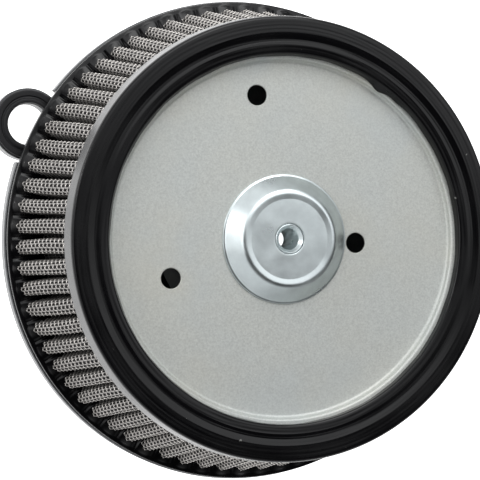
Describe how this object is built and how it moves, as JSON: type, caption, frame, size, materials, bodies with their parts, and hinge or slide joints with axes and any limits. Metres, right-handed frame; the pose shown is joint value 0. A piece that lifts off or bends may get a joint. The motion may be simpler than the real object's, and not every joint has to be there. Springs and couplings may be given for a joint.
{
  "type": "motorcycle air filter",
  "caption": "Round pleated air filter with black end rings, a steel front plate with a threaded hub, and a back plate with breather lugs.",
  "frame": {"origin": "on the filter's axis, in the rear plane of the throttle gasket and the rear breather seals", "axes": "+Z along the filter's axis to its front plate; +X towards the right breather lug, seen from the front; +Y up, towards the lugs"},
  "size_m": [0.1854, 0.179, 0.0695],
  "materials": {
    "cast_aluminium": "machined and tumbled casting",
    "black_urethane": "semi-gloss moulded urethane with flow lines",
    "seal_rubber": "matt black nitrile",
    "gasket_fibre": "dark grey compressed fibre",
    "wire_cloth": "plain woven coated wire, bright knuckles",
    "cotton_gauze": "dark oiled cotton gauze",
    "core_steel": "zinc coated perforated sheet",
    "galvanised_sheet": "matt fine-grained zinc sheet",
    "plated_steel": "bright zinc plate with a faint blue cast",
    "plug_steel": "ground steel"
  },
  "bodies": {
    "base": {"back_plate": "cast_aluminium", "throttle_gasket": "gasket_fibre", "breather_seal_front_left": "seal_rubber", "breather_seal_rear_left": "seal_rubber", "passage_plug_left": "plug_steel", "breather_seal_front_right": "seal_rubber", "breather_seal_rear_right": "seal_rubber", "passage_plug_right": "plug_steel"},
    "element": {"rear_end_ring": "black_urethane", "outer_wire_mesh": "wire_cloth", "gauze_ply_1": "cotton_gauze", "gauze_ply_2": "cotton_gauze", "gauze_ply_3": "cotton_gauze", "gauze_ply_4": "cotton_gauze", "inner_wire_mesh": "wire_cloth", "support_core": "core_steel", "front_end_ring": "black_urethane", "front_plate": "galvanised_sheet", "hub_cap": "plated_steel", "hub_insert": "plated_steel"}
  },
  "joints": [
    {"name": "element_lift", "type": "slide", "parent": "base", "child": "element", "axis": [0, 0, 1], "range_m": [0, 0.07]}
  ]
}
